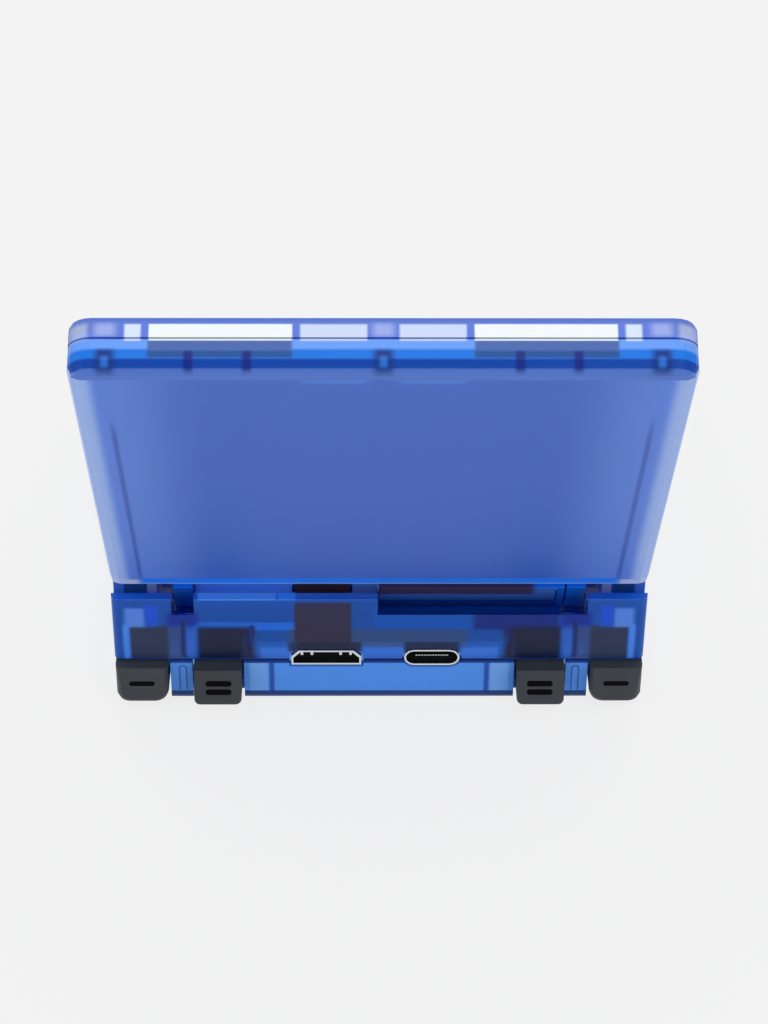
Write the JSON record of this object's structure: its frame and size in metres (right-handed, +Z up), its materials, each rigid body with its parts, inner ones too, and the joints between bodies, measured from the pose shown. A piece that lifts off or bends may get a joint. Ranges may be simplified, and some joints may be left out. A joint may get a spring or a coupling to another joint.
{
  "type": "clamshell game console",
  "caption": "Clamshell handheld game console in translucent blue plastic, with a folding screen, direction pad, face buttons, shoulder buttons and rear sockets.",
  "frame": {"origin": "middle of the flat underside of the lower shell", "axes": "+Z up off the surface that it rests on, +Y to the rear where the hinge and sockets are, +X to the player's right"},
  "size_m": [0.086, 0.1185, 0.0915],
  "materials": {
    "blue_shell": "translucent blue, satin outside and frosted on the lid's outer face",
    "black_plastic": "fine matt black",
    "bright_steel": "plated, bright",
    "dark_steel": "dark oxide",
    "board": "solder mask on glass fibre",
    "silicone": "soft matt",
    "foam": "white foam",
    "film": "silver film",
    "copper_film": "amber film over copper tracks",
    "screen": "glossy, black printed border"
  },
  "bodies": {
    "base": {"base_upper_shell": "blue_shell", "base_lower_shell": "blue_shell", "battery_door": "blue_shell", "speaker": "black_plastic", "headphone_socket": "black_plastic", "video_socket": "bright_steel", "data_socket_rear": "bright_steel", "data_socket_front": "bright_steel", "card_slot_left": "bright_steel", "card_slot_right": "bright_steel", "vibration_motor": "bright_steel", "processor_shield": "bright_steel", "base_screw_front_left": "bright_steel", "base_screw_front_right": "bright_steel", "base_screw_rear_left": "bright_steel", "base_screw_rear_right": "bright_steel", "hinge_cartridge_left": "dark_steel", "hinge_cartridge_right": "dark_steel", "rear_module": "dark_steel", "main_board": "board", "shoulder_switch_board_left": "board", "shoulder_switch_board_right": "board", "wireless_antenna": "board", "dpad_membrane": "silicone", "action_membrane": "silicone", "battery": "film", "display_cable_stem": "copper_film"},
    "lid": {"lid_bezel": "blue_shell", "lid_outer_shell": "blue_shell", "screen_glass": "screen", "display_panel": "black_plastic", "display_backing": "film", "lid_pad_left": "foam", "lid_pad_right": "foam", "lid_magnet": "bright_steel", "lid_screw_1": "bright_steel", "lid_screw_2": "bright_steel", "lid_screw_3": "bright_steel", "display_cable": "copper_film", "hinge_tongue_left": "bright_steel", "hinge_tongue_right": "bright_steel"},
    "button_a": {"button_a": "black_plastic"},
    "button_b": {"button_b": "black_plastic"},
    "button_x": {"button_x": "black_plastic"},
    "button_y": {"button_y": "black_plastic"},
    "button_menu": {"button_menu": "black_plastic"},
    "button_start": {"button_start": "black_plastic"},
    "button_select": {"button_select": "black_plastic"},
    "dpad": {"dpad": "black_plastic"},
    "dpad_gimbal": {"dpad_gimbal": "bright_steel"},
    "volume_rocker": {"volume_rocker": "black_plastic"},
    "button_power": {"button_power": "black_plastic"},
    "button_reset": {"button_reset": "black_plastic"},
    "shoulder_left_outer": {"shoulder_left_outer": "black_plastic"},
    "shoulder_left_inner": {"shoulder_left_inner": "black_plastic"},
    "shoulder_right_outer": {"shoulder_right_outer": "black_plastic"},
    "shoulder_right_inner": {"shoulder_right_inner": "black_plastic"}
  },
  "joints": [
    {"name": "lid_hinge", "type": "hinge", "parent": "base", "child": "lid", "pos_m": [0, 0.0355, 0.02193], "axis": [-1, 0, 0], "range_deg": [-118.7, 18]},
    {"name": "button_a_press", "type": "slide", "parent": "base", "child": "button_a", "axis": [0, 0, -1], "range_m": [0, 0.0006], "stiffness_N_per_m": 400},
    {"name": "button_b_press", "type": "slide", "parent": "base", "child": "button_b", "axis": [0, 0, -1], "range_m": [0, 0.0006], "stiffness_N_per_m": 400},
    {"name": "button_x_press", "type": "slide", "parent": "base", "child": "button_x", "axis": [0, 0, -1], "range_m": [0, 0.0006], "stiffness_N_per_m": 400},
    {"name": "button_y_press", "type": "slide", "parent": "base", "child": "button_y", "axis": [0, 0, -1], "range_m": [0, 0.0006], "stiffness_N_per_m": 400},
    {"name": "button_menu_press", "type": "slide", "parent": "base", "child": "button_menu", "axis": [0, 0, -1], "range_m": [0, 0.0006], "stiffness_N_per_m": 400},
    {"name": "button_start_press", "type": "slide", "parent": "base", "child": "button_start", "axis": [0, 0, -1], "range_m": [0, 0.0006], "stiffness_N_per_m": 400},
    {"name": "button_select_press", "type": "slide", "parent": "base", "child": "button_select", "axis": [0, 0, -1], "range_m": [0, 0.0006], "stiffness_N_per_m": 400},
    {"name": "shoulder_left_outer_press", "type": "slide", "parent": "base", "child": "shoulder_left_outer", "axis": [0, -1, 0], "range_m": [0, 0.0006], "stiffness_N_per_m": 400},
    {"name": "shoulder_left_inner_press", "type": "slide", "parent": "base", "child": "shoulder_left_inner", "axis": [0, -1, 0], "range_m": [0, 0.0006], "stiffness_N_per_m": 400},
    {"name": "shoulder_right_outer_press", "type": "slide", "parent": "base", "child": "shoulder_right_outer", "axis": [0, -1, 0], "range_m": [0, 0.0006], "stiffness_N_per_m": 400},
    {"name": "shoulder_right_inner_press", "type": "slide", "parent": "base", "child": "shoulder_right_inner", "axis": [0, -1, 0], "range_m": [0, 0.0006], "stiffness_N_per_m": 400},
    {"name": "button_power_press", "type": "slide", "parent": "base", "child": "button_power", "axis": [-1, 0, 0], "range_m": [0, 0.0004], "stiffness_N_per_m": 400},
    {"name": "button_reset_press", "type": "slide", "parent": "base", "child": "button_reset", "axis": [-1, 0, 0], "range_m": [0, 0.0004], "stiffness_N_per_m": 400},
    {"name": "dpad_pitch", "type": "hinge", "parent": "base", "child": "dpad_gimbal", "pos_m": [-0.0255, 0.007, 0.01315], "axis": [1, 0, 0], "range_deg": [-3, 3], "stiffness_Nm_per_rad": 0.02},
    {"name": "dpad_roll", "type": "hinge", "parent": "dpad_gimbal", "child": "dpad", "pos_m": [-0.0255, 0.007, 0.01315], "axis": [0, 1, 0], "range_deg": [-3, 3], "stiffness_Nm_per_rad": 0.02},
    {"name": "volume_rock", "type": "hinge", "parent": "base", "child": "volume_rocker", "pos_m": [-0.0408, 0.023, 0.0132], "axis": [0, 0, 1], "range_deg": [-2.5, 2.5], "stiffness_Nm_per_rad": 0.02}
  ]
}
